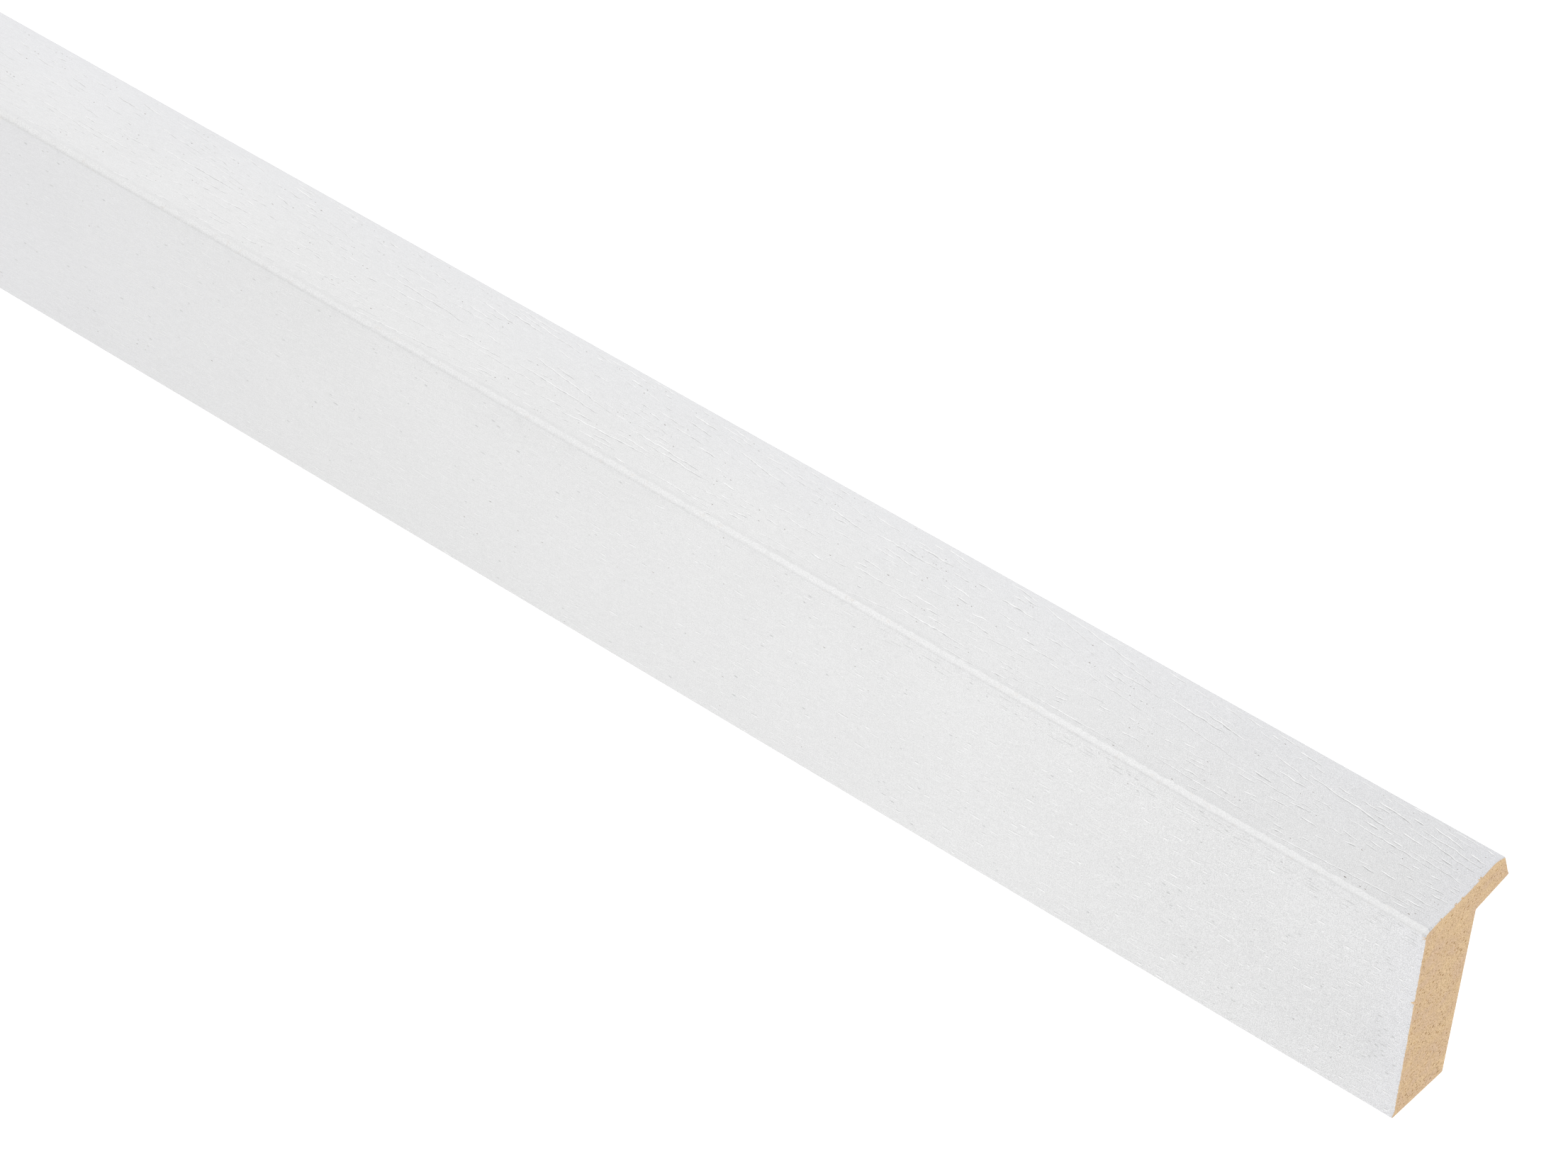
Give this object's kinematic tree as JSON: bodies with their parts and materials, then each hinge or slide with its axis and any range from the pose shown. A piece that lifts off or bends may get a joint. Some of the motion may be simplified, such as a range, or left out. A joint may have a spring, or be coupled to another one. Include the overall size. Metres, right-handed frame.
{
  "type": "picture frame moulding",
  "caption": "Straight length of deep-rebated picture frame moulding with a gently sloping white painted face and square-cut bare wood ends.",
  "frame": {"origin": "on the back's plane, halfway along the length and in the middle of the overall width", "axes": "+X along the length, +Y from the painted outer side to the lip of the rebate, +Z from the back to the face"},
  "size_m": [0.28, 0.0198, 0.0351],
  "materials": {
    "painted_wood": "matt white open-pore paint on light hardwood; cut ends, rebate and back are bare"
  },
  "bodies": {
    "root": {"moulding": "painted_wood"}
  },
  "joints": []
}
